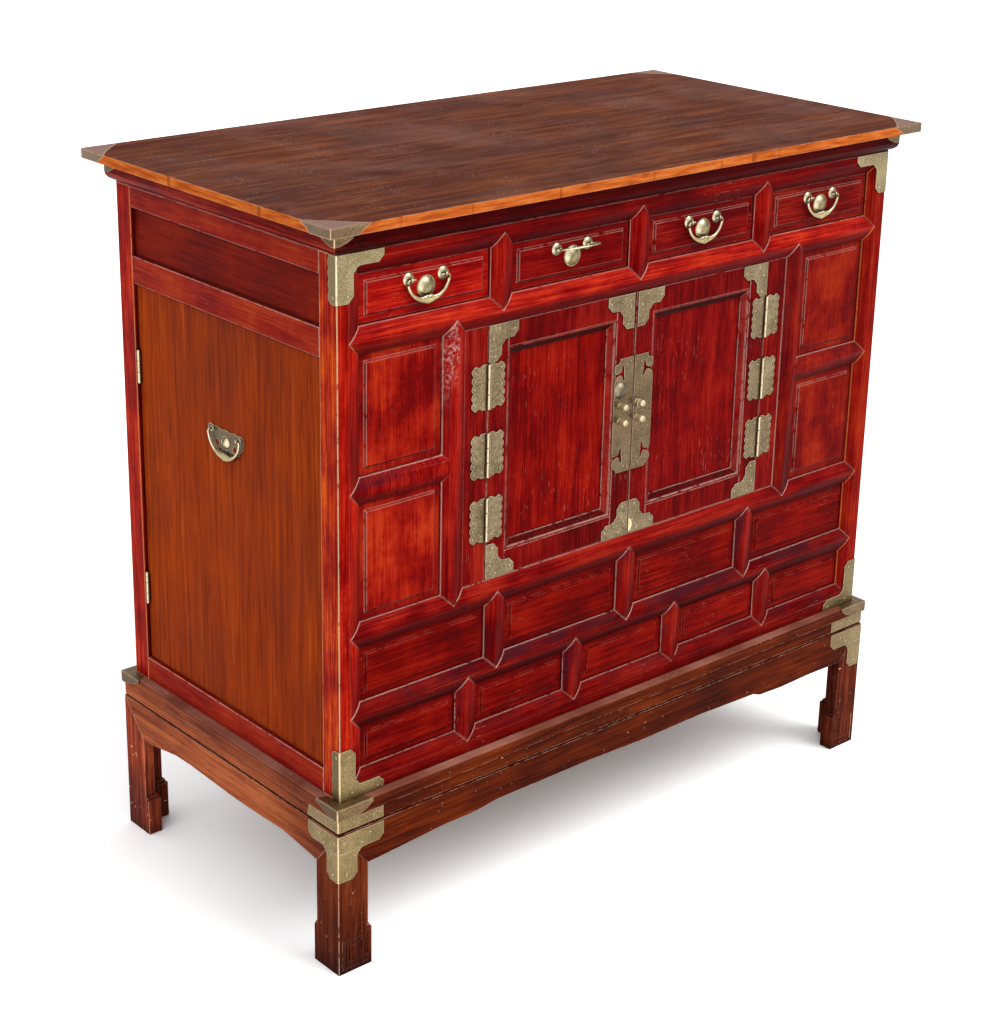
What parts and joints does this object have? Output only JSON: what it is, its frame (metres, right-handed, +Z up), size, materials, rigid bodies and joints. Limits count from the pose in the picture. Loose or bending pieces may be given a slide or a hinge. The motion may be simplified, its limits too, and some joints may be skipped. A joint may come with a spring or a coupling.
{
  "type": "bar cabinet",
  "caption": "Red lacquered bar cabinet with framed panels, double front doors, a row of drawers, hinged end doors and brass fittings on a low legged stand.",
  "frame": {"origin": "middle of the footprint on the floor, under the centre of the overall box", "axes": "+X along the front to the viewer's right, the front faces -Y, +Z up"},
  "size_m": [0.968, 0.5006, 0.911],
  "materials": {
    "stand_wood": "worn satin stain",
    "inside_wood": "plain planed wood",
    "back_wood": "dull stain",
    "top_veneer": "satin veneer",
    "end_door_veneer": "satin veneer",
    "end_panel_lacquer": "satin lacquer",
    "aged_brass": "dull aged brass",
    "worn_brass": "worn bright brass",
    "drawer_lacquer": "worn satin lacquer",
    "red_lacquer": "worn satin lacquer"
  },
  "bodies": {
    "case": {"stand_legs": "stand_wood", "stand_aprons": "stand_wood", "stand_frame": "stand_wood", "stand_brass": "aged_brass", "front_posts": "red_lacquer", "rear_posts": "red_lacquer", "front_top_rail": "red_lacquer", "drawer_rail": "red_lacquer", "sill_rail": "red_lacquer", "middle_rail": "red_lacquer", "bottom_rail": "red_lacquer", "drawer_muntins": "red_lacquer", "row_muntins": "red_lacquer", "column_muntins": "red_lacquer", "column_panels": "red_lacquer", "row_panels": "red_lacquer", "door_jambs": "red_lacquer", "end_rails": "red_lacquer", "end_upper_panels": "end_panel_lacquer", "back_frame": "back_wood", "back_panels": "back_wood", "bottom_board": "inside_wood", "partitions": "inside_wood", "shelves": "inside_wood", "dust_board": "inside_wood", "drawer_guides": "inside_wood", "cornice": "red_lacquer", "top_board": "top_veneer", "top_brass": "aged_brass", "case_corner_plates": "aged_brass", "fixed_hinge_leaves": "aged_brass"},
    "left_door": {"left_door_frame": "red_lacquer", "left_door_panel": "red_lacquer", "left_door_fittings": "aged_brass", "left_lock_plate": "aged_brass"},
    "right_door": {"right_door_frame": "red_lacquer", "right_door_panel": "red_lacquer", "right_door_fittings": "aged_brass", "right_lock_plate": "aged_brass"},
    "drawer_1_body": {"drawer_1": "drawer_lacquer", "drawer_handle_1": "worn_brass"},
    "drawer_bail_1_body": {"drawer_bail_1": "worn_brass"},
    "drawer_2_body": {"drawer_2": "drawer_lacquer", "drawer_handle_2": "worn_brass"},
    "drawer_bail_2_body": {"drawer_bail_2": "worn_brass"},
    "drawer_3_body": {"drawer_3": "drawer_lacquer", "drawer_handle_3": "worn_brass"},
    "drawer_bail_3_body": {"drawer_bail_3": "worn_brass"},
    "drawer_4_body": {"drawer_4": "drawer_lacquer", "drawer_handle_4": "worn_brass"},
    "drawer_bail_4_body": {"drawer_bail_4": "worn_brass"},
    "left_end_door_body": {"left_end_door": "end_door_veneer", "left_end_brass": "aged_brass"},
    "left_end_bail_body": {"left_end_bail": "worn_brass"},
    "right_end_door_body": {"right_end_door": "end_door_veneer", "right_end_brass": "aged_brass"},
    "right_end_bail_body": {"right_end_bail": "worn_brass"}
  },
  "joints": [
    {"name": "left_door_hinge", "type": "hinge", "parent": "case", "child": "left_door", "pos_m": [-0.23575, -0.21557, 0.59735], "axis": [0, 0, -1], "range_deg": [0, 165]},
    {"name": "right_door_hinge", "type": "hinge", "parent": "case", "child": "right_door", "pos_m": [0.23575, -0.21557, 0.59735], "axis": [0, 0, 1], "range_deg": [0, 165]},
    {"name": "drawer_1_slide", "type": "slide", "parent": "case", "child": "drawer_1_body", "axis": [0, -1, 0], "range_m": [0, 0.28]},
    {"name": "drawer_2_slide", "type": "slide", "parent": "case", "child": "drawer_2_body", "axis": [0, -1, 0], "range_m": [0, 0.28]},
    {"name": "drawer_3_slide", "type": "slide", "parent": "case", "child": "drawer_3_body", "axis": [0, -1, 0], "range_m": [0, 0.28]},
    {"name": "drawer_4_slide", "type": "slide", "parent": "case", "child": "drawer_4_body", "axis": [0, -1, 0], "range_m": [0, 0.28]},
    {"name": "drawer_bail_1_swing", "type": "hinge", "parent": "drawer_1_body", "child": "drawer_bail_1_body", "pos_m": [-0.32887, -0.21817, 0.8283], "axis": [-1, 0, 0], "range_deg": [0, 105]},
    {"name": "drawer_bail_2_swing", "type": "hinge", "parent": "drawer_2_body", "child": "drawer_bail_2_body", "pos_m": [-0.10963, -0.21817, 0.8283], "axis": [-1, 0, 0], "range_deg": [-105, 0]},
    {"name": "drawer_bail_3_swing", "type": "hinge", "parent": "drawer_3_body", "child": "drawer_bail_3_body", "pos_m": [0.10963, -0.21817, 0.8283], "axis": [-1, 0, 0], "range_deg": [0, 105]},
    {"name": "drawer_bail_4_swing", "type": "hinge", "parent": "drawer_4_body", "child": "drawer_bail_4_body", "pos_m": [0.32887, -0.21817, 0.8283], "axis": [-1, 0, 0], "range_deg": [0, 105]},
    {"name": "left_end_door_hinge", "type": "hinge", "parent": "case", "child": "left_end_door_body", "pos_m": [-0.4526, 0.18873, 0.502], "axis": [0, 0, -1], "range_deg": [0, 100]},
    {"name": "right_end_door_hinge", "type": "hinge", "parent": "case", "child": "right_end_door_body", "pos_m": [0.4526, 0.18873, 0.502], "axis": [0, 0, 1], "range_deg": [0, 100]},
    {"name": "left_end_bail_swing", "type": "hinge", "parent": "left_end_door_body", "child": "left_end_bail_body", "pos_m": [-0.4545, 0.00433, 0.609], "axis": [0, 1, 0], "range_deg": [0, 105]},
    {"name": "right_end_bail_swing", "type": "hinge", "parent": "right_end_door_body", "child": "right_end_bail_body", "pos_m": [0.4545, 0.00433, 0.609], "axis": [0, -1, 0], "range_deg": [0, 105]}
  ]
}
